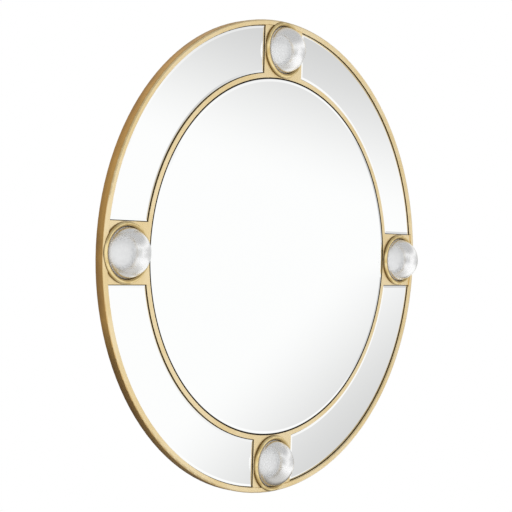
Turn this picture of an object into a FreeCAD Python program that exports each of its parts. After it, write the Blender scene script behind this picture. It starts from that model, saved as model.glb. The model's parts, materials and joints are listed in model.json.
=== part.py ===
import FreeCAD, Part
import math
import os

# Round wall mirror: a gold front lattice holding a round mirror, four curved mirror segments and
# four crystal domes in raised bezels, on a fibreboard back with two D-ring hangers.
# Sizes are in millimetres. X points right as one faces the mirror, Z up and Y into the wall.
# y = 0 is the wall, which the rubber bumpers touch, so the front faces towards -Y.

# Front frame
frame_diameter = 1016.0
frame_depth = 22.0
lattice_thickness = 7.0
outer_ring_width = 11.5
inner_ring_width = 9.9
rim_rise = 2.5
rim_wall = 5.0
rim_shoulder_radius = 3.5
rim_lip_radius = 0.6
edge_break = 0.4

# Crystal domes and their bezels
crystal_radius = 50.0
crystal_sink = 3.0
crystal_foot_chamfer = 0.6
dome_backing_thickness = 0.5
bezel_gap = 0.8
bezel_width = 9.2
bezel_height = 7.0
bezel_notch_gap = 0.3
spigot_wall = 1.1
spigot_end_gap = 0.5
spigot_clearance = 0.1
panel_margin = 1.0
band_margin = 1.3

# Glass
centre_glass_thickness = 6.0
centre_shadow_gap = 2.8
centre_bevel_width = 6.0
centre_bevel_depth = 1.0
segment_glass_thickness = 4.0
segment_shadow_gap = 1.5
segment_bevel_width = 5.0
segment_bevel_depth = 0.9

# Mounting tape behind the glass
tape_thickness = 1.0
tape_width = 20.0
tape_inset = 12.0
centre_tape_pitch = 120.0
centre_tape_pairs = 2

# Backing board
board_thickness = 9.0
board_clearance = 0.3
board_chamfer = 0.5

# Screws through the board into the lattice
backing_screw_radius = 2.0
backing_screw_bite = 5.0
backing_screw_hole_spare = 0.5
backing_head_radius = 4.0
backing_head_height = 2.4
thread_clearance = 0.05
board_hole_clearance = 0.3
ring_screws_per_quadrant = 2
panel_screw_inset = 8.0
panel_screw_reach = 38.0
recess_width = 1.0
recess_depth = 1.2
recess_margin = 1.2

# D-ring hangers
hanger_inset = 80.0
hanger_angle = 45.0
strap_width = 12.0
strap_thickness = 1.5
strap_tail = 36.0
strap_eye_wall = 0.9
first_screw_drop = 11.0
second_screw_drop = 28.5
ring_wire_radius = 1.75
ring_eye_clearance = 0.06
ring_lay_gap = 0.3
ring_inner_width = 28.0
ring_corner_radius = 4.0
ring_side_length = 1.0
hanger_screw_radius = 1.75
hanger_screw_bite = 6.5
hanger_head_radius = 3.4
hanger_head_height = 2.1

# Wall bumpers
bumper_radius = 10.0
bumper_height = 7.0
bumper_inset = 32.0
bumper_angle = 60.0
bumper_round = 1.0

# Radii and levels that follow from the sizes above
frame_radius = frame_diameter / 2
bezel_inner_radius = crystal_radius + bezel_gap
bezel_outer_radius = bezel_inner_radius + bezel_width
spigot_radius = bezel_inner_radius + spigot_wall
seat_radius = spigot_radius + spigot_clearance
dome_circle_radius = frame_radius - band_margin - bezel_outer_radius
centre_opening_radius = dome_circle_radius - bezel_outer_radius - band_margin
panel_half_width = bezel_outer_radius + panel_margin
segment_inner_radius = centre_opening_radius + inner_ring_width
segment_outer_radius = frame_radius - outer_ring_width
board_radius = frame_radius - rim_wall - board_clearance
board_back = -bumper_height
board_front = board_back - board_thickness
face_level = board_front - lattice_thickness
rim_level = face_level - rim_rise
frame_back = rim_level + frame_depth
tape_front = board_front - tape_thickness
dome_seat_level = board_front - dome_backing_thickness
dome_centre_level = face_level + crystal_sink

quarter_turns = {"top": 0, "right": 90, "bottom": 180, "left": 270}
quadrant_turns = {"upper_right": 0, "lower_right": 90, "lower_left": 180, "upper_left": 270}

origin = FreeCAD.Vector(0, 0, 0)
y_axis = FreeCAD.Vector(0, 1, 0)
x_axis = FreeCAD.Vector(1, 0, 0)


def turned(shape, degrees):
    """A copy of the shape turned clockwise, as seen from the front, about the mirror's centre."""
    copy = shape.copy()
    copy.rotate(origin, y_axis, degrees)
    return copy


def moved(shape, x, y, z):
    """A copy of the shape moved by x, y and z."""
    copy = shape.copy()
    copy.translate(FreeCAD.Vector(x, y, z))
    return copy


def arc(centre_r, centre_y, radius, start, end):
    """A round stretch of a turned section, from the start angle to the end angle in degrees."""
    points = []
    for degrees in (start, (start + end) / 2, end):
        angle = math.radians(degrees)
        r = centre_r + radius * math.cos(angle)
        y = centre_y + radius * math.sin(angle)
        points.append(FreeCAD.Vector(r, y, 0))
    return Part.Arc(*points).toShape()


def section(*items):
    """The flat face inside corner points (r, y) and arcs, taken in order and joined by straight edges."""
    ends = []
    for item in items:
        if isinstance(item, tuple):
            point = FreeCAD.Vector(item[0], item[1], 0)
            ends.append((point, point, None))
        else:
            ends.append((item.firstVertex(True).Point, item.lastVertex(True).Point, item))
    edges = []
    for (_, leave, edge), (arrive, _, _) in zip(ends, ends[1:] + ends[:1]):
        if edge is not None:
            edges.append(edge)
        if leave.distanceToPoint(arrive) > 1e-6:
            edges.append(Part.LineSegment(leave, arrive).toShape())
    return Part.Face(Part.Wire(edges))


def turned_solid(*items):
    """The section swept right round the Y axis."""
    return section(*items).revolve(origin, y_axis, 360)


def disc(radius, back, front):
    """A plain disc about the Y axis, from its back level to its front level."""
    return Part.makeCylinder(radius, back - front, FreeCAD.Vector(0, front, 0), y_axis)


def edge_block(side, reach, back, front, inset, inset_depth):
    """A block from x = side outwards over z = 0 to reach, with its front edge drawn in by the inset."""
    corners = [(side, back), (side, front + inset_depth), (side + inset, front), (reach, front), (reach, back)]
    points = [FreeCAD.Vector(x, y, 0) for x, y in corners]
    face = Part.Face(Part.makePolygon(points + points[:1]))
    return face.extrude(FreeCAD.Vector(0, 0, reach))


def quarter_sector(inner, outer, side, back, front, inset, inset_depth):
    """A quarter of a flat ring in the upper right, its two ends parallel to the axes at `side` from them.
    The inset draws the front edge in all round as a bevel, or opens it out where it is negative."""
    front_corner = front + inset_depth
    ring = turned_solid((inner, back), (inner, front_corner), (inner + inset, front),
                        (outer - inset, front), (outer, front_corner), (outer, back))
    upright_end = edge_block(side, 2 * outer, back, front, inset, inset_depth)
    level_end = upright_end.mirror(origin, FreeCAD.Vector(1, 0, -1))
    return ring.common(upright_end).common(level_end).Solids[0]


def plain_sector(inner, outer, side, back, front):
    """The quarter sector with square edges."""
    ring = disc(outer, back, front).cut(disc(inner, back, front))
    reach = outer + side
    block = Part.makeBox(reach, back - front, reach, FreeCAD.Vector(side, front, side))
    return ring.common(block).Solids[0]


def segment_opening():
    """The cutter for one opening between two dome panels, flared by the edge break at the face."""
    return quarter_sector(segment_inner_radius, segment_outer_radius, panel_half_width,
                          board_front, face_level, -edge_break, edge_break)


def ring_screw_points():
    """Screw places (x, z) along the back of the inner ring, between the dome panels."""
    radius = centre_opening_radius + inner_ring_width / 2
    step = 90 / (ring_screws_per_quadrant + 1)
    angles = [90 * quadrant + step * (i + 1) for quadrant in range(4) for i in range(ring_screws_per_quadrant)]
    return [(radius * math.cos(math.radians(a)), radius * math.sin(math.radians(a))) for a in angles]


def panel_screw_points():
    """Screw places (x, z) in the four corners of each dome panel."""
    across = panel_half_width - panel_screw_inset
    points = []
    for turn in quarter_turns.values():
        angle = math.radians(turn)
        for u in (-across, across):
            for v in (dome_circle_radius - panel_screw_reach, dome_circle_radius + panel_screw_reach):
                x = u * math.cos(angle) + v * math.sin(angle)
                z = v * math.cos(angle) - u * math.sin(angle)
                points.append((x, z))
    return points


def screw_holes(points, radius, back, depth):
    """Round holes at the given places, from the back level towards the front."""
    return [moved(disc(radius, back, back - depth), x, 0, z) for x, z in points]


def make_front_frame():
    """The gold lattice with its raised rim and side wall: a turned body with the openings, the bezels'
    notches and seats and the screw holes cut out."""
    rim_inner_radius = frame_radius - rim_wall
    rim_start = segment_outer_radius + edge_break
    body = turned_solid(
        (centre_opening_radius, board_front),
        (centre_opening_radius, face_level + edge_break),
        (centre_opening_radius + edge_break, face_level),
        (rim_start, face_level),
        arc(rim_start + rim_lip_radius, rim_level + rim_lip_radius, rim_lip_radius, 180, 270),
        arc(frame_radius - rim_shoulder_radius, rim_level + rim_shoulder_radius, rim_shoulder_radius, -90, 0),
        arc(frame_radius - edge_break, frame_back - edge_break, edge_break, 0, 90),
        (rim_inner_radius, frame_back),
        (rim_inner_radius, board_front))
    opening = segment_opening()
    cutters = [turned(opening, turn) for turn in quadrant_turns.values()]
    notch_radius = bezel_outer_radius + bezel_notch_gap
    for turn in quarter_turns.values():
        cutters.append(at_dome_seat(disc(notch_radius, face_level, rim_level), turn))
        cutters.append(at_dome_seat(disc(seat_radius, board_front, face_level), turn))
    hole_radius = backing_screw_radius + thread_clearance
    hole_depth = backing_screw_bite + backing_screw_hole_spare
    cutters += screw_holes(ring_screw_points() + panel_screw_points(), hole_radius, board_front, hole_depth)
    return body.cut(cutters)


def make_backing_board():
    """The round board, drilled for the screws into the lattice and for the hanger screws."""
    board = turned_solid((0, board_front), (board_radius, board_front),
                         (board_radius, board_back - board_chamfer),
                         (board_radius - board_chamfer, board_back), (0, board_back))
    through = screw_holes(ring_screw_points() + panel_screw_points(),
                          backing_screw_radius + board_hole_clearance, board_back, board_thickness)
    pilots = screw_holes(hanger_screw_points(), hanger_screw_radius + thread_clearance,
                         board_back, hanger_screw_bite + thread_clearance)
    return board.cut(through + pilots)


def make_centre_mirror():
    """The round mirror with its polished bevel."""
    radius = centre_opening_radius - centre_shadow_gap
    front = tape_front - centre_glass_thickness
    return turned_solid((0, tape_front), (radius, tape_front), (radius, front + centre_bevel_depth),
                        (radius - centre_bevel_width, front), (0, front))


def make_segment_mirror(turn):
    """One curved mirror segment with a bevel on all four sides."""
    front = tape_front - segment_glass_thickness
    glass = quarter_sector(segment_inner_radius + segment_shadow_gap,
                           segment_outer_radius - segment_shadow_gap,
                           panel_half_width + segment_shadow_gap,
                           tape_front, front, segment_bevel_width, segment_bevel_depth)
    return turned(glass, turn)


def make_centre_tape():
    """Upright strips behind the round mirror, ending inside its edge."""
    reach = centre_opening_radius - centre_shadow_gap - tape_inset
    inside = disc(reach, board_front, tape_front)
    strips = []
    for i in range(-centre_tape_pairs, centre_tape_pairs + 1):
        corner = FreeCAD.Vector(i * centre_tape_pitch - tape_width / 2, tape_front, -reach)
        strip = Part.makeBox(tape_width, tape_thickness, 2 * reach, corner)
        strips += strip.common(inside).Solids
    return Part.makeCompound(strips)


def make_segment_tape():
    """Two curved strips behind each mirror segment."""
    inner = segment_inner_radius + segment_shadow_gap + tape_inset
    outer = segment_outer_radius - segment_shadow_gap - tape_inset
    side = panel_half_width + segment_shadow_gap + tape_inset
    pair = [plain_sector(inner, inner + tape_width, side, board_front, tape_front),
            plain_sector(outer - tape_width, outer, side, board_front, tape_front)]
    return Part.makeCompound([turned(strip, turn) for turn in quadrant_turns.values() for strip in pair])


def at_dome_seat(shape, turn):
    """A shape made about the Y axis, set in the dome seat that lies at the given turn from the top."""
    return turned(moved(shape, 0, 0, dome_circle_radius), turn)


def make_bezel(turn):
    """A raised half-round bead on short straight sides, with a thin spigot down into its seat."""
    bead_radius = bezel_width / 2
    bead_level = face_level - bezel_height + bead_radius
    spigot_end = board_front - spigot_end_gap
    ring = turned_solid(
        (bezel_inner_radius, spigot_end),
        arc(bezel_inner_radius + bead_radius, bead_level, bead_radius, 180, 360),
        (bezel_outer_radius, face_level),
        (spigot_radius, face_level),
        (spigot_radius, spigot_end))
    return at_dome_seat(ring, turn)


def make_crystal_dome(turn):
    """A half ball of solid crystal on a short round foot, flat at the back."""
    dome = turned_solid(
        (0, dome_seat_level),
        arc(0, dome_centre_level, crystal_radius, -90, 0),
        (crystal_radius, dome_seat_level - crystal_foot_chamfer),
        (crystal_radius - crystal_foot_chamfer, dome_seat_level))
    return at_dome_seat(dome, turn)


def make_dome_backing(turn):
    """The thin silvered disc between the crystal's flat back and the board."""
    return at_dome_seat(disc(crystal_radius, board_front, dome_seat_level), turn)


def pan_screw(head_radius, head_height, shank_radius, shank_length):
    """A pan-head screw along Y with its head's underside at y = 0, its shank forwards and a cross recess."""
    edge = head_height / 2
    screw = turned_solid(
        (0, -shank_length),
        (shank_radius, -shank_length),
        (shank_radius, 0),
        (head_radius, 0),
        arc(head_radius - edge, head_height - edge, edge, 0, 90),
        (0, head_height))
    span = 2 * (head_radius - recess_margin)
    slot = Part.makeBox(span, recess_depth, recess_width,
                        FreeCAD.Vector(-span / 2, head_height - recess_depth, -recess_width / 2))
    return screw.cut([slot, turned(slot, 90)])


def make_backing_screws():
    """The screws that hold the board to the back of the lattice."""
    screw = pan_screw(backing_head_radius, backing_head_height, backing_screw_radius,
                      board_thickness + backing_screw_bite)
    places = ring_screw_points() + panel_screw_points()
    return Part.makeCompound([moved(screw, x, board_back, z) for x, z in places])


def hanger_point(side):
    """Where a hanger's eye stands, x and z, on the left (side -1) or right (side 1)."""
    radius = board_radius - hanger_inset
    angle = math.radians(hanger_angle)
    return side * radius * math.sin(angle), radius * math.cos(angle)


def hanger_screw_points():
    """Places (x, z) of the two screws under each hanger's eye."""
    points = []
    for side in (-1, 1):
        x, z = hanger_point(side)
        points += [(x, z - first_screw_drop), (x, z - second_screw_drop)]
    return points


def eye_height():
    """How far the eye's axis stands off the board, so that the ring lies clear over the strap."""
    return strap_thickness + ring_lay_gap + ring_wire_radius


def make_hanger_strap(side):
    """A steel strap with a round end, two screw holes and a rolled eye at its top."""
    half = strap_width / 2
    flat = strap_tail - half
    plate = Part.makeBox(strap_width, strap_thickness, flat, FreeCAD.Vector(-half, 0, -flat))
    round_end = moved(disc(half, strap_thickness, 0), 0, 0, -flat)
    eye_bore = ring_wire_radius + ring_eye_clearance
    eye_start = FreeCAD.Vector(-half, eye_height(), 0)
    eye = Part.makeCylinder(eye_bore + strap_eye_wall, strap_width, eye_start, x_axis)
    bore = Part.makeCylinder(eye_bore, strap_width, eye_start, x_axis)
    x, z = hanger_point(side)
    strap = moved(plate.fuse([round_end, eye]).removeSplitter().cut(bore), x, board_back, z)
    holes = screw_holes(hanger_screw_points(), hanger_screw_radius + board_hole_clearance,
                        board_back + strap_thickness, strap_thickness)
    return strap.cut(holes)


def make_hanger_ring(side):
    """A D-ring of round wire, hanging from the eye: a bar, two round corners and a half-round bow."""
    half = ring_inner_width / 2 + ring_wire_radius
    corner = ring_corner_radius
    bow_z = -corner - ring_side_length
    slant = corner * (1 - math.sqrt(0.5))

    def at(x, z):
        return FreeCAD.Vector(x, 0, z)

    path = Part.Wire([
        Part.LineSegment(at(0, 0), at(half - corner, 0)).toShape(),
        Part.Arc(at(half - corner, 0), at(half - slant, -slant), at(half, -corner)).toShape(),
        Part.LineSegment(at(half, -corner), at(half, bow_z)).toShape(),
        Part.Arc(at(half, bow_z), at(0, bow_z - half), at(-half, bow_z)).toShape(),
        Part.LineSegment(at(-half, bow_z), at(-half, -corner)).toShape(),
        Part.Arc(at(-half, -corner), at(slant - half, -slant), at(corner - half, 0)).toShape(),
        Part.LineSegment(at(corner - half, 0), at(0, 0)).toShape()])
    wire_section = Part.Wire([Part.makeCircle(ring_wire_radius, origin, x_axis)])
    ring = path.makePipeShell([wire_section], True, False)
    x, z = hanger_point(side)
    return moved(ring, x, board_back + eye_height(), z)


def make_hanger_screws():
    """Two wood screws through each strap into the board."""
    screw = pan_screw(hanger_head_radius, hanger_head_height, hanger_screw_radius,
                      strap_thickness + hanger_screw_bite)
    seat_level = board_back + strap_thickness
    return Part.makeCompound([moved(screw, x, seat_level, z) for x, z in hanger_screw_points()])


def make_wall_bumpers():
    """Four round rubber bumpers on the back of the board, which meet the wall."""
    pad = turned_solid((0, 0), (bumper_radius, 0),
                       arc(bumper_radius - bumper_round, bumper_height - bumper_round, bumper_round, 0, 90),
                       (0, bumper_height))
    radius = board_radius - bumper_inset
    across = radius * math.sin(math.radians(bumper_angle))
    up = radius * math.cos(math.radians(bumper_angle))
    places = [(i * across, k * up) for i in (-1, 1) for k in (-1, 1)]
    return Part.makeCompound([moved(pad, x, board_back, z) for x, z in places])


def make_all():
    """Every piece of the mirror, by name."""
    pieces = {
        "front_frame": make_front_frame(),
        "backing_board": make_backing_board(),
        "centre_mirror": make_centre_mirror(),
        "centre_mirror_tape": make_centre_tape(),
        "segment_mirror_tape": make_segment_tape(),
        "backing_screws": make_backing_screws(),
        "hanger_screws": make_hanger_screws(),
        "wall_bumpers": make_wall_bumpers(),
    }
    for place, turn in quadrant_turns.items():
        pieces["segment_mirror_" + place] = make_segment_mirror(turn)
    for place, turn in quarter_turns.items():
        pieces["bezel_" + place] = make_bezel(turn)
        pieces["crystal_dome_" + place] = make_crystal_dome(turn)
        pieces["dome_backing_" + place] = make_dome_backing(turn)
    for place, side in (("left", -1), ("right", 1)):
        pieces["hanger_strap_" + place] = make_hanger_strap(side)
        pieces["hanger_ring_" + place] = make_hanger_ring(side)
    return pieces


os.makedirs("parts", exist_ok=True)
for name, shape in make_all().items():
    shape.exportStep("parts/" + name + ".step")
    print(name, "solids:", len(shape.Solids), "volume:", round(shape.Volume), "valid:", shape.isValid())
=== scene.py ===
import bpy
import json
import math
import numpy as np
from mathutils import Matrix, Vector

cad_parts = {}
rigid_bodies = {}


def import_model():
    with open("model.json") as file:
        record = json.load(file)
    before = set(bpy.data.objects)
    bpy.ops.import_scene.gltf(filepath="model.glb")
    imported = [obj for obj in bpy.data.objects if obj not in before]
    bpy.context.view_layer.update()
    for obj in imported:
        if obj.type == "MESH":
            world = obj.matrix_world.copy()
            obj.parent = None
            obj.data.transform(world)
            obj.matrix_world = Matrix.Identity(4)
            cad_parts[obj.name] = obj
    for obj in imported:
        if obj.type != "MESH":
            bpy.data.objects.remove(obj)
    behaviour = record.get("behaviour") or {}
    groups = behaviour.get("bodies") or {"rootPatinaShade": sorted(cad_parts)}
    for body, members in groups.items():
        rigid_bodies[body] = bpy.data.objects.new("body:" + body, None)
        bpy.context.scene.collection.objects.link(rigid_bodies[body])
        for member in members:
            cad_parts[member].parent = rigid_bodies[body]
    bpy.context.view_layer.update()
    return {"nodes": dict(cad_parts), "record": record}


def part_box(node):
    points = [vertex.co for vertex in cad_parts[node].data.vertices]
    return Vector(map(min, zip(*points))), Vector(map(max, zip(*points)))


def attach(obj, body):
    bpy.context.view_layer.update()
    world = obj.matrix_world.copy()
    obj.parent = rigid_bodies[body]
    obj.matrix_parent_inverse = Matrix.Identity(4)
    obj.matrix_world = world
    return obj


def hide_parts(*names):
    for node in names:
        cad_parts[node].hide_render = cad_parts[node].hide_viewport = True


for leftover in list(bpy.data.objects):
    bpy.data.objects.remove(leftover)
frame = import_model()
nodes = frame["nodes"]
quarters = ("top", "right", "bottom", "left")
print("frame loaded:", len(nodes), "nodes")

# sizes in metres; all but the first two are read from the frame
bezelHeight = 0.007  # from the lattice's gold face to the bezels' crests
bezelGap = 0.0008  # between a crystal and its bezel
frameLow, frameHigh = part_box("front_frame")
rimLevel = frameLow.y  # the front of the raised rim, towards -Y
frameRadius = frameHigh.x
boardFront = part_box("backing_board")[0].y
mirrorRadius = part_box("centre_mirror")[1].x
bezelLow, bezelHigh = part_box("bezel_top")
faceLevel = bezelLow.y + bezelHeight
bezelRadius = (bezelHigh.x - bezelLow.x) / 2
domeCircle = (bezelHigh.z + bezelLow.z) / 2  # how far the crystals' axes stand from the mirror's centre
crystalLow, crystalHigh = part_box("crystal_dome_top")
crystalRadius = (crystalHigh.x - crystalLow.x) / 2
bezelHole = crystalRadius + bezelGap


class Value:
    # a shader socket that can be used in Python maths; each operator adds one Math node
    def __init__(self, paint, socket):
        self.paint = paint
        self.socket = socket

    def maths(self, operation, *others, flipped=False):
        terms = [self, *others]
        if flipped:
            terms.reverse()
        return self.paint.add("Math", {"operation": operation}, dict(enumerate(terms)))

    def __add__(self, other):
        return self.maths("ADD", other)

    __radd__ = __add__

    def __sub__(self, other):
        return self.maths("SUBTRACT", other)

    def __rsub__(self, other):
        return self.maths("SUBTRACT", other, flipped=True)

    def __mul__(self, other):
        return self.maths("MULTIPLY", other)

    __rmul__ = __mul__

    def __pow__(self, other):
        return self.maths("POWER", other)

    def __rpow__(self, other):
        return self.maths("POWER", other, flipped=True)

    def __abs__(self):
        return self.maths("ABSOLUTE")


class Paint:
    # one node tree, of a material or of the world
    def __init__(self, tree):
        self.tree = tree
        self.tree.nodes.clear()

    def add(self, kind, settings=None, inputs=None, take=0):
        # any node: its settings first, then the values or links of its sockets
        node = self.tree.nodes.new("ShaderNode" + kind)
        for key, setting in (settings or {}).items():
            setattr(node, key, setting)
        for key, value in (inputs or {}).items():
            if isinstance(value, Value):
                self.tree.links.new(value.socket, node.inputs[key])
            else:
                node.inputs[key].default_value = value
        return Value(self, node.outputs[take]) if node.outputs else node

    def step(self, value, low, high):
        # 0 below low, 1 above high and a smooth rise between them; low above high turns it over
        settings = {"interpolation_type": "SMOOTHSTEP"}
        if low > high:
            return self.add("MapRange", settings, {0: value, 1: high, 2: low, 3: 1.0, 4: 0.0})
        return self.add("MapRange", settings, {0: value, 1: low, 2: high, 3: 0.0, 4: 1.0})

    def mix(self, factor, first, second):
        # a colour between two colours
        return self.add("Mix", {"data_type": "RGBA"}, {0: factor, 6: first, 7: second}, take=2)

    def noise(self, place, scale, detail=3.0, roughness=0.5):
        inputs = {"Vector": place, "Scale": scale, "Detail": detail, "Roughness": roughness}
        return self.add("TexNoise", {}, inputs)

    def bump(self, height, strength, distance):
        return self.add("Bump", {}, {"Height": height, "Strength": strength, "Distance": distance})

    def spread(self, place, stretch):
        # the coordinates scaled by a different amount along each axis
        return self.add("Mapping", {}, {"Vector": place, "Scale": stretch})

    def axes(self, place):
        node = self.add("SeparateXYZ", {}, {0: place}).socket.node
        return [Value(self, node.outputs[i]) for i in range(3)]

    def rays(self, *kinds):
        # for each kind of ray, 1 where the light path is of that kind and 0 elsewhere
        node = self.add("LightPath").socket.node
        return [Value(self, node.outputs["Is " + kind + " Ray"]) for kind in kinds]


def newMaterial(name):
    material = bpy.data.materials.new(name)
    material.use_nodes = True
    return material, Paint(material.node_tree)


def surfaceMaterial(name, finish):
    # a material whose Principled sockets are what finish(paint, place) returns
    material, paint = newMaterial(name)
    place = paint.add("TexCoord", take="Object")
    shader = paint.add("BsdfPrincipled", {}, finish(paint, place))
    paint.add("OutputMaterial", {}, {"Surface": shader})
    return material


def reach(first, second):
    # distance from an axis: the square root of the two lengths' squares
    return (first * first + second * second) ** 0.5


def domeReach(x, z):
    # distance in the mirror's plane to the nearest dome axis: fold x and z to their larger and smaller
    # size, so that one axis stands for all four
    far = abs(x).maths("MAXIMUM", abs(z)) - domeCircle
    near = abs(x).maths("MINIMUM", abs(z))
    return reach(far, near)


def shifted(level, gaps):
    # the two ends of a step, as gaps from a level
    return [level + gap for gap in gaps]


goldLook = {
    "face": (0.90, 0.735, 0.44, 1),
    "faceWarm": (0.84, 0.655, 0.34, 1),
    # the rim's side: painted shade, a darker gold standing in for the dim room that it reflects, with
    # deeper painted shade further back
    "side": (0.66, 0.42, 0.145, 1),
    "sideDeepShade": (0.36, 0.215, 0.085, 1),
    "wall": (0.20, 0.135, 0.065, 1),  # the openings' inner walls: painted shade in these recesses, as a dark brown patina
    # brown patina and painted shade, close round the bezels' roots
    "patinaAndShade": (0.30, 0.20, 0.085, 1),
    "rootPatinaShadeStrength": 0.65,  # how strong the patina and painted shade are on the panels, close round the bezels
    "roughness": 0.30,
    "coat": 0.25,
    "coatRoughness": 0.3,
    "mottle": 9.0,  # patches per metre
    "grain": 900.0,
    "warmEdges": (0.38, 0.66),  # of the mottling, from pale to warm gold
    "sideEdges": (0.0008, 0.0034),  # behind the rim's front, from the face's gold to the side's painted shade
    "sideShadeEdges": (0.003, 0.021),  # behind the rim's front, from the side's painted shade to its deeper one
    "outerEdges": (-0.003, -0.001),  # from the rim's radius, where the side begins
    "wallEdges": (0.0009, 0.0017),  # behind the lattice's face
    "innerEdges": (-0.002, -0.004),  # from the rim's radius, where the openings' walls may begin
    "rootEdges": (0.0016, 0.0004),  # out from a bezel
}


def goldFinish(paint, place):
    look = goldLook
    x, y, z = paint.axes(place)
    radius = reach(x, z)
    mottle = paint.noise(place, look["mottle"], detail=4.0, roughness=0.6)
    grain = paint.noise(place, look["grain"], detail=2.0, roughness=0.7)
    warm = paint.step(mottle, *look["warmEdges"])
    depth = y - rimLevel
    # the side is painted darker than the face, as shade
    onSide = paint.step(depth, *look["sideEdges"])
    onSide = onSide * paint.step(radius, *shifted(frameRadius, look["outerEdges"]))
    # painted shade on the openings' inner walls, behind the lattice's face
    inShadedWall = paint.step(y - faceLevel, *look["wallEdges"])
    inShadedWall = inShadedWall * paint.step(radius, *shifted(frameRadius, look["innerEdges"]))
    # patina and painted shade on the panels round the bezels' roots
    rootPatinaShade = paint.step(domeReach(x, z), *shifted(bezelRadius, look["rootEdges"]))
    face = paint.mix(warm, look["face"], look["faceWarm"])
    face = paint.mix(look["rootPatinaShadeStrength"] * rootPatinaShade, face, look["patinaAndShade"])
    # painted shade deepening towards the back of the side, with random tone from the mottling
    sideShadeAndTone = 0.75 * paint.step(depth, *look["sideShadeEdges"]) + 0.5 * (warm - 0.5)
    side = paint.mix(sideShadeAndTone, look["side"], look["sideDeepShade"])
    return {
        "Base Color": paint.mix(inShadedWall, paint.mix(onSide, face, side), look["wall"]),
        "Metallic": 0.85,
        "Roughness": look["roughness"] + 0.10 * (mottle - 0.5) + 0.06 * (grain - 0.5),
        "Normal": paint.bump(grain + 2.0 * mottle, 0.12, 0.0004),
        "Coat Weight": look["coat"],
        "Coat Roughness": look["coatRoughness"],
    }


bezelLook = {
    "bright": (0.93, 0.76, 0.41, 1),
    "deep": (0.70, 0.52, 0.22, 1),
    # the inner flank, painted darker as shade
    "inside": (0.46, 0.33, 0.14, 1),
    # brown patina and painted shade, low on the bezel's sides
    "patinaAndShade": (0.20, 0.135, 0.05, 1),
    "roughness": 0.20,
    "wear": 60.0,  # patches per metre
    "grain": 1400.0,
    "wearEdges": (0.35, 0.7),  # of the wear, from bright to deep gold
    "rootEdges": (0.0066, 0.0010),  # height over the lattice's face, down which the patina and painted shade thicken
    "rootRagged": 0.0012,  # how far wear shifts that height
    "insideEdges": (0.0056, 0.0030),  # out from the bezel's hole, across which the inner flank's painted shade fades out
}


def bezelFinish(paint, place):
    # polished on the crest, with brown patina and painted shade low on the outer and inner sides, and
    # painted shade over the inner flank
    look = bezelLook
    x, y, z = paint.axes(place)
    fromAxis = domeReach(x, z)
    wear = paint.noise(place, look["wear"], detail=4.0, roughness=0.6)
    grain = paint.noise(place, look["grain"], detail=2.0, roughness=0.6)
    height = faceLevel - y
    # patina and painted shade, thickening down towards the lattice's face
    rootPatinaShade = paint.step(height + look["rootRagged"] * wear, *look["rootEdges"])
    # painted shade on the inner flank, next to the hole
    inside = paint.step(fromAxis, *shifted(bezelHole, look["insideEdges"]))
    polished = paint.mix(paint.step(wear, *look["wearEdges"]), look["bright"], look["deep"])
    return {
        "Base Color": paint.mix(rootPatinaShade, paint.mix(inside, polished, look["inside"]), look["patinaAndShade"]),
        "Metallic": 1.0,
        "Roughness": look["roughness"] + 0.10 * (wear - 0.5),
        "Normal": paint.bump(grain, 0.04, 0.0002),
    }


mirrorLook = {
    "silver": (0.985, 0.99, 0.99, 1),
    "tint": (0.975, 0.985, 0.98, 1),
    "haze": 3.0,  # clouds per metre
    "hazeRoughness": 0.004,
    "rim": (0.10, 0.085, 0.06, 1),  # the centre glass's ground edge: dark backing paint there, and painted shade of the gap beside it
    "rimRoughness": 0.3,
    "rimEdges": (-0.0010, -0.0004),  # from the centre glass's radius
    "rimEnd": (0.002, 0.001),
}


def mirrorFinish(paint, place):
    look = mirrorLook
    x, y, z = paint.axes(place)
    radius = reach(x, z)
    haze = paint.noise(place, look["haze"], detail=2.0)
    # a dark band painted round the centre glass's edge, partly backing paint and partly shade of the gap
    atRim = paint.step(radius, *shifted(mirrorRadius, look["rimEdges"]))
    atRim = atRim * paint.step(radius, *shifted(mirrorRadius, look["rimEnd"]))
    return {
        "Base Color": paint.mix(atRim, paint.mix(haze, look["silver"], look["tint"]), look["rim"]),
        "Metallic": 1.0,
        "Roughness": look["hazeRoughness"] * haze + look["rimRoughness"] * atRim,
    }


crystalLook = {
    "clear": (0.985, 0.99, 0.99, 1),
    "grey": (0.95, 0.96, 0.965, 1),
    "roughness": 0.28,
    "index": 1.5,  # how strongly the crystal bends light
    "swirl": 35.0,  # clouds per metre
    "foil": (0.86, 0.86, 0.865, 1),
    "foilRoughness": 0.45,
    "foilEdges": (-0.0095, -0.0085),  # from the ball's middle, where the silvering up the side ends
}


def makeCrystalFinish():
    # clear glass above, and a silvered band round the foot, which the side of the ball shows
    look = crystalLook
    material, paint = newMaterial("clearCrystal")
    place = paint.add("TexCoord", take="Object")
    x, y, z = paint.axes(place)
    swirl = paint.noise(place, look["swirl"], detail=2.0)
    band = paint.step(y, *shifted(crystalLow.y + crystalRadius, look["foilEdges"]))
    glass = paint.add("BsdfPrincipled", {}, {
        "Base Color": paint.mix(swirl, look["clear"], look["grey"]),
        "Roughness": look["roughness"],
        "IOR": look["index"],
        "Transmission Weight": 1.0,
        "Normal": paint.bump(swirl, 0.02, 0.001),
    })
    silver = paint.add("BsdfPrincipled", {}, {
        "Base Color": paint.mix(swirl, look["foil"], look["grey"]),
        "Roughness": look["foilRoughness"],
    })
    both = paint.add("MixShader", {}, {0: band, 1: glass, 2: silver})
    paint.add("OutputMaterial", {}, {"Surface": both})
    return material


foilLook = {
    "dull": (0.88, 0.88, 0.885, 1),
    "bright": (0.95, 0.95, 0.95, 1),
    "crinkle": 160.0,  # creases per metre
    "metal": 0.6,
    "roughness": 0.35,
}


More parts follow.
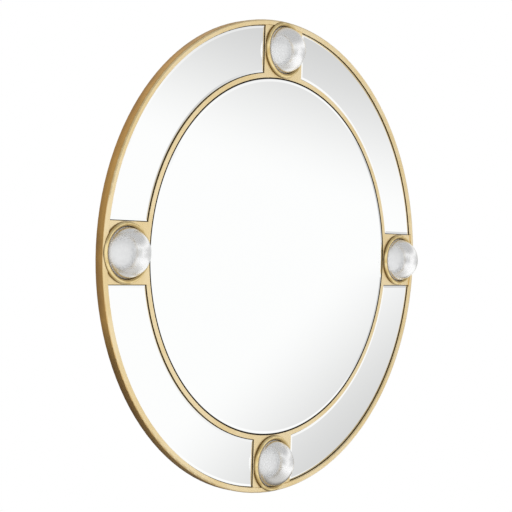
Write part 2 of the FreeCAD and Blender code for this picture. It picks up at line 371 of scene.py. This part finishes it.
def foilFinish(paint, place):
    look = foilLook
    crinkle = paint.noise(place, look["crinkle"], roughness=0.6)
    return {
        "Base Color": paint.mix(crinkle, look["dull"], look["bright"]),
        "Metallic": look["metal"],
        "Roughness": look["roughness"] + 0.1 * crinkle,
    }


boardLook = {
    "dark": (0.36, 0.25, 0.155, 1),
    "pale": (0.47, 0.345, 0.225, 1),
    "paint": (0.050, 0.036, 0.024, 1),
    "fibre": 420.0,  # fibres per metre
    "fibreStretch": (1.0, 1.0, 0.35),
    "cloud": 6.0,
    "paleEdges": (0.35, 0.65),  # of fibre and cloud together, from dark to pale
    "paintEdges": (0.0006, 0.0002),  # behind the board's front
    "roughness": 0.72,
}


def boardFinish(paint, place):
    # bare fibreboard at the back, dark brown paint on the glass side
    look = boardLook
    fibre = paint.noise(paint.spread(place, look["fibreStretch"]), look["fibre"], detail=5.0, roughness=0.7)
    cloud = paint.noise(place, look["cloud"])
    x, y, z = paint.axes(place)
    pale = paint.step(fibre * 0.6 + cloud * 0.4, *look["paleEdges"])
    bare = paint.mix(pale, look["dark"], look["pale"])
    painted = paint.step(y, *shifted(boardFront, look["paintEdges"]))
    return {
        "Base Color": paint.mix(painted, bare, look["paint"]),
        "Roughness": look["roughness"] + 0.12 * fibre,
        "Normal": paint.bump(fibre, 0.25, 0.0003),
    }


tapeLook = {
    "shade": (0.86, 0.86, 0.84, 1),
    "light": (0.92, 0.92, 0.90, 1),
    "foam": 1500.0,  # cells per metre
    "roughness": 0.8,
}


def tapeFinish(paint, place):
    look = tapeLook
    foam = paint.noise(place, look["foam"], detail=2.0)
    return {
        "Base Color": paint.mix(foam, look["shade"], look["light"]),
        "Roughness": look["roughness"],
        "Normal": paint.bump(foam, 0.3, 0.0002),
    }


steelLook = {
    "bright": (0.62, 0.63, 0.64, 1),
    "rubbed": (0.50, 0.51, 0.53, 1),
    "spangle": 700.0,  # zinc crystals per metre
    "rub": 220.0,
    "rubEdges": (0.4, 0.65),  # of the rubbing, from bright to rubbed
    "roughness": 0.26,
}


def steelFinish(paint, place):
    look = steelLook
    spangle = paint.add("TexVoronoi", {}, {"Vector": place, "Scale": look["spangle"]}, take="Distance")
    rub = paint.noise(place, look["rub"], roughness=0.6)
    return {
        "Base Color": paint.mix(paint.step(rub, *look["rubEdges"]), look["bright"], look["rubbed"]),
        "Metallic": 1.0,
        "Roughness": look["roughness"] + 0.14 * spangle,
        "Normal": paint.bump(rub, 0.08, 0.0002),
    }


rubberLook = {
    "black": (0.018, 0.018, 0.019, 1),
    "dusty": (0.035, 0.035, 0.036, 1),
    "speck": 1800.0,  # specks per metre
    "roughness": 0.62,
}


def rubberFinish(paint, place):
    look = rubberLook
    speck = paint.noise(place, look["speck"], roughness=0.6)
    return {
        "Base Color": paint.mix(speck, look["black"], look["dusty"]),
        "Roughness": look["roughness"] + 0.2 * speck,
        "Normal": paint.bump(speck, 0.2, 0.0002),
    }


finishes = {
    "brushed_gold": surfaceMaterial("champagneGold", goldFinish),
    "polished_gold": surfaceMaterial("polishedGold", bezelFinish),
    "mirror_glass": surfaceMaterial("silveredMirror", mirrorFinish),
    "crystal": makeCrystalFinish(),
    "silvered_foil": surfaceMaterial("silverFoil", foilFinish),
    "fibreboard": surfaceMaterial("fibreboard", boardFinish),
    "mounting_tape": surfaceMaterial("foamTape", tapeFinish),
    "zinc_steel": surfaceMaterial("zincPlate", steelFinish),
    "bumper_rubber": surfaceMaterial("blackRubber", rubberFinish),
}
slotOf = {part["node"]: part["material_slot"] for part in frame["record"]["subparts"]}
for name, node in nodes.items():
    for slot in node.material_slots:
        slot.material = finishes[slotOf[name]]
print("finishes made:", len(finishes))


def makeMesh(name, points, faces, sharpAngle=30.0):
    mesh = bpy.data.meshes.new(name)
    mesh.from_pydata(points.tolist(), [], faces)
    mesh.validate()
    mesh.shade_smooth()
    mesh.set_sharp_from_angle(angle=math.radians(sharpAngle))
    piece = bpy.data.objects.new(name, mesh)
    bpy.context.scene.collection.objects.link(piece)
    return piece


def turnPiece(name, profile, centre, steps):
    # each point of the profile, a radius and a level, goes round the centre: x = centre's x + radius
    # times the turn's sine, y = level, z = centre's z + radius times its cosine; the profile's two ends
    # lie on the axis, and each is one point
    turn = np.linspace(0, 2 * math.pi, steps, endpoint=False)
    rings = profile[1:-1]
    radius, level = rings[:, 0:1], rings[:, 1:2]
    x = centre[0] + radius * np.sin(turn)
    z = centre[1] + radius * np.cos(turn)
    y = level + 0 * turn
    points = np.stack([x, y, z], axis=-1).reshape(-1, 3)
    poles = np.array([[centre[0], profile[end, 1], centre[1]] for end in (0, -1)])
    row, column = np.meshgrid(np.arange(len(rings) - 1), np.arange(steps), indexing="ij")
    nextColumn = (column + 1) % steps
    quads = np.stack([row * steps + column, row * steps + nextColumn,
                      (row + 1) * steps + nextColumn, (row + 1) * steps + column], axis=-1).reshape(-1, 4)
    around = np.arange(steps)
    after = (around + 1) % steps
    first, last = len(points), len(points) + 1
    lastRow = (len(rings) - 1) * steps
    startFan = np.stack([np.full(steps, first), after, around], axis=-1)
    endFan = np.stack([np.full(steps, last), lastRow + around, lastRow + after], axis=-1)
    faces = quads.tolist() + startFan.tolist() + endFan.tolist()
    return makeMesh(name, np.concatenate([points, poles]), faces)


crystal = {
    "chamfer": 0.0006,
    "seat": 0.0001,  # how far the back sinks into the foil, so that the two read as bonded
    "backRing": 0.5,  # a ring on the flat back, as a share of the radius
    "steps": 160,
    "rings": 64,
}


def makeCrystal(place):
    # a half ball on a short foot: radius = R times the cosine of an angle, level = the ball's middle + R
    # times its sine, from -90 degrees at the front to 0 at the foot
    node = "crystal_dome_" + place
    low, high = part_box(node)
    centre = ((low.x + high.x) / 2, (low.z + high.z) / 2)
    radius = (high.x - low.x) / 2
    middle = low.y + radius
    angle = np.radians(np.linspace(-90, 0, crystal["rings"]))
    dome = np.stack([radius * np.cos(angle), middle + radius * np.sin(angle)], axis=-1)
    dome[0, 0] = 0  # the front's point lies on the axis exactly
    back = high.y + crystal["seat"]
    foot = np.array([
        [radius, back - crystal["chamfer"]],
        [radius - crystal["chamfer"], back],
        [crystal["backRing"] * radius, back],
        [0, back],
    ])
    piece = turnPiece("crystal_" + place, np.concatenate([dome, foot])[::-1], centre, crystal["steps"])
    piece.data.materials.append(finishes["crystal"])
    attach(piece, "mirror")
    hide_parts(node)


for place in quarters:
    makeCrystal(place)
print("crystals turned:", len(quarters))

cameraLook = {
    "place": (-2.1812, -1.8825, 0.0060),
    "yaw": 48.596,  # degrees from +Y towards +X
    "pitch": -0.116,
    "roll": 1.629,
    "lens": 93.15,
    "sensor": 36.0,
    "clip": (0.05, 60),
}


def makeCamera():
    look = cameraLook
    yaw, pitch, roll = (math.radians(look[key]) for key in ("yaw", "pitch", "roll"))
    forward = np.array([math.sin(yaw) * math.cos(pitch), math.cos(yaw) * math.cos(pitch), math.sin(pitch)])
    level = np.array([math.cos(yaw), -math.sin(yaw), 0])
    upright = np.cross(level, forward)
    right = level * math.cos(roll) + upright * math.sin(roll)
    up = upright * math.cos(roll) - level * math.sin(roll)
    data = bpy.data.cameras.new("camera")
    data.lens = look["lens"]
    data.sensor_width = look["sensor"]
    data.clip_start, data.clip_end = look["clip"]
    camera = bpy.data.objects.new("camera", data)
    pose = Matrix(np.stack([right, up, -forward], axis=-1).tolist()).to_4x4()
    pose.translation = look["place"]
    camera.matrix_world = pose
    bpy.context.scene.collection.objects.link(camera)
    bpy.context.scene.camera = camera


lamps = {
    "key": {"place": (-1.6, -3.0, 2.6), "size": 2.4, "power": 22},
    "fill": {"place": (2.8, -2.4, 1.2), "size": 2.4, "power": 10},
}


def addLamp(name, look):
    # a round soft lamp that shines on the mirror's centre and isn't seen in gloss or glass
    data = bpy.data.lights.new(name, "AREA")
    data.shape = "DISK"
    data.size = look["size"]
    data.energy = look["power"]
    lamp = bpy.data.objects.new(name, data)
    lamp.location = look["place"]
    lamp.rotation_mode = "QUATERNION"
    lamp.rotation_quaternion = Vector(look["place"]).to_track_quat("Z", "Y")
    lamp.visible_glossy = False
    lamp.visible_transmission = False
    bpy.context.scene.collection.objects.link(lamp)


studioLook = {
    "diffuse": 0.80,  # what matt surfaces receive from all round
    "topShade": 0.37,  # how much darker the studio is in a soft band above the mirror's level
    "topEdges": (3.0, 11.0),  # degrees
    "topTilt": 0.3,  # how much that band drops towards the right
    "lowShade": 0.345,  # and in one towards the lower right
    "lowEdges": (3.0, 13.0),
    "lowStart": (0.0, -0.02),  # that one starts just under the level
    "bandEnd": (9.5, 14.0),  # both bands fade out between these elevations
    "rightWay": 49.5,  # azimuth that the mirror shows at its middle, in degrees from -Y towards +X
    "ceilingShade": 0.48,  # how much darker it is high up
    "ceilingEdges": (15.0, 36.0),
    "behind": (0.44, 0.38, 0.28, 1),  # the studio behind the mirror, level with it and lower
    "behindHigh": (0.72, 0.61, 0.45, 1),  # and high up
    "behindEdges": (0.05, 0.7),  # how far round to the back that half begins
    "highEdges": (0.1, 0.7),
}


def makeWorld():
    # white for the camera; gloss and glass see a white room with two broad soft shades, one above and
    # one to the lower right, and a warmer dim half behind the mirror
    look = studioLook
    world = bpy.data.worlds.new("studio")
    bpy.context.scene.world = world
    world.use_nodes = True
    paint = Paint(world.node_tree)
    x, y, z = paint.axes(paint.add("TexCoord", take="Generated"))
    way = math.radians(look["rightWay"])
    across = x * math.cos(way) + y * math.sin(way)
    topEdges, lowEdges, ends, ceiling = (
        [math.sin(math.radians(edge)) for edge in look[key]]
        for key in ("topEdges", "lowEdges", "bandEnd", "ceilingEdges"))
    inBand = paint.step(abs(z), *reversed(ends))
    top = paint.step(z + look["topTilt"] * across, *topEdges) * inBand
    low = paint.step(across - z, *lowEdges) * paint.step(z, *look["lowStart"]) * inBand
    level = (1 - look["topShade"] * top) * (1 - look["lowShade"] * low)
    level = level * (1 - look["ceilingShade"] * paint.step(z, *ceiling))
    front = paint.mix(level, (0, 0, 0, 1), (1, 1, 1, 1))
    behind = paint.mix(paint.step(z, *look["highEdges"]), look["behind"], look["behindHigh"])
    seen = paint.mix(paint.step(y, *look["behindEdges"]), front, behind)
    isCamera, isGlossy, isTransmission = paint.rays("Camera", "Glossy", "Transmission")
    plain = [look["diffuse"]] * 3 + [1]
    colour = paint.mix(isGlossy.maths("MAXIMUM", isTransmission), plain, seen)
    colour = paint.mix(isCamera, colour, (1, 1, 1, 1))
    sky = paint.add("Background", {}, {"Color": colour, "Strength": 1.0})
    paint.add("OutputWorld", {}, {"Surface": sky})


floorLook = {
    "drop": 1.45,  # the mirror's centre hangs this high
    "radius": 3.0,
    "steps": 96,
    "matt": (0.93, 0.93, 0.925, 1),
    "roughness": 0.9,
    "grain": 300.0,
    "fadeShares": (0.3, 0.95),  # shares of the radius, from the matt floor to white
    "seen": (0.60, 0.59, 0.57, 1),  # the floor in front as gloss and glass see it, white further off
    "seenEdges": (0.6, 2.2),
    "seenBehind": (0.16, 0.14, 0.11, 1),  # and the floor behind the mirror
    "behindEdges": (-0.2, 0.4),
}


def makeFloor():
    # a round pale floor: x = radius times the turn's sine, y = radius times its cosine, z = the drop
    look = floorLook
    turn = np.linspace(0, 2 * math.pi, look["steps"], endpoint=False)
    x, y = look["radius"] * np.sin(turn), look["radius"] * np.cos(turn)
    points = np.stack([x, y, 0 * turn - look["drop"]], axis=-1)
    floor = makeMesh("floor", points, [list(range(look["steps"]))[::-1]])
    material, paint = newMaterial("paleFloor")
    place = paint.add("TexCoord", take="Object")
    x, y, z = paint.axes(place)
    away = reach(x, y)
    rim = paint.step(away, *(share * look["radius"] for share in look["fadeShares"]))
    matt = paint.add("BsdfPrincipled", {}, {
        "Base Color": look["matt"],
        "Roughness": look["roughness"],
        "Normal": paint.bump(paint.noise(place, look["grain"]), 0.1, 0.0005),
    })
    white = paint.add("Emission", {}, {"Color": (1, 1, 1, 1), "Strength": 1.0})
    plain = paint.add("MixShader", {}, {0: rim, 1: matt, 2: white})
    shade = paint.mix(paint.step(away, *look["seenEdges"]), look["seen"], (1, 1, 1, 1))
    shade = paint.mix(paint.step(y, *look["behindEdges"]), shade, look["seenBehind"])
    seen = paint.add("Emission", {}, {"Color": shade, "Strength": 1.0})
    isGlossy, isTransmission = paint.rays("Glossy", "Transmission")
    sharp = isGlossy.maths("MAXIMUM", isTransmission)
    surface = paint.add("MixShader", {}, {0: sharp, 1: plain, 2: seen})
    paint.add("OutputMaterial", {}, {"Surface": surface})
    floor.data.materials.append(material)


makeCamera()
makeWorld()
makeFloor()
for name, look in lamps.items():
    addLamp(name, look)
bpy.context.scene.view_settings.view_transform = "Standard"
print("camera and lights set")
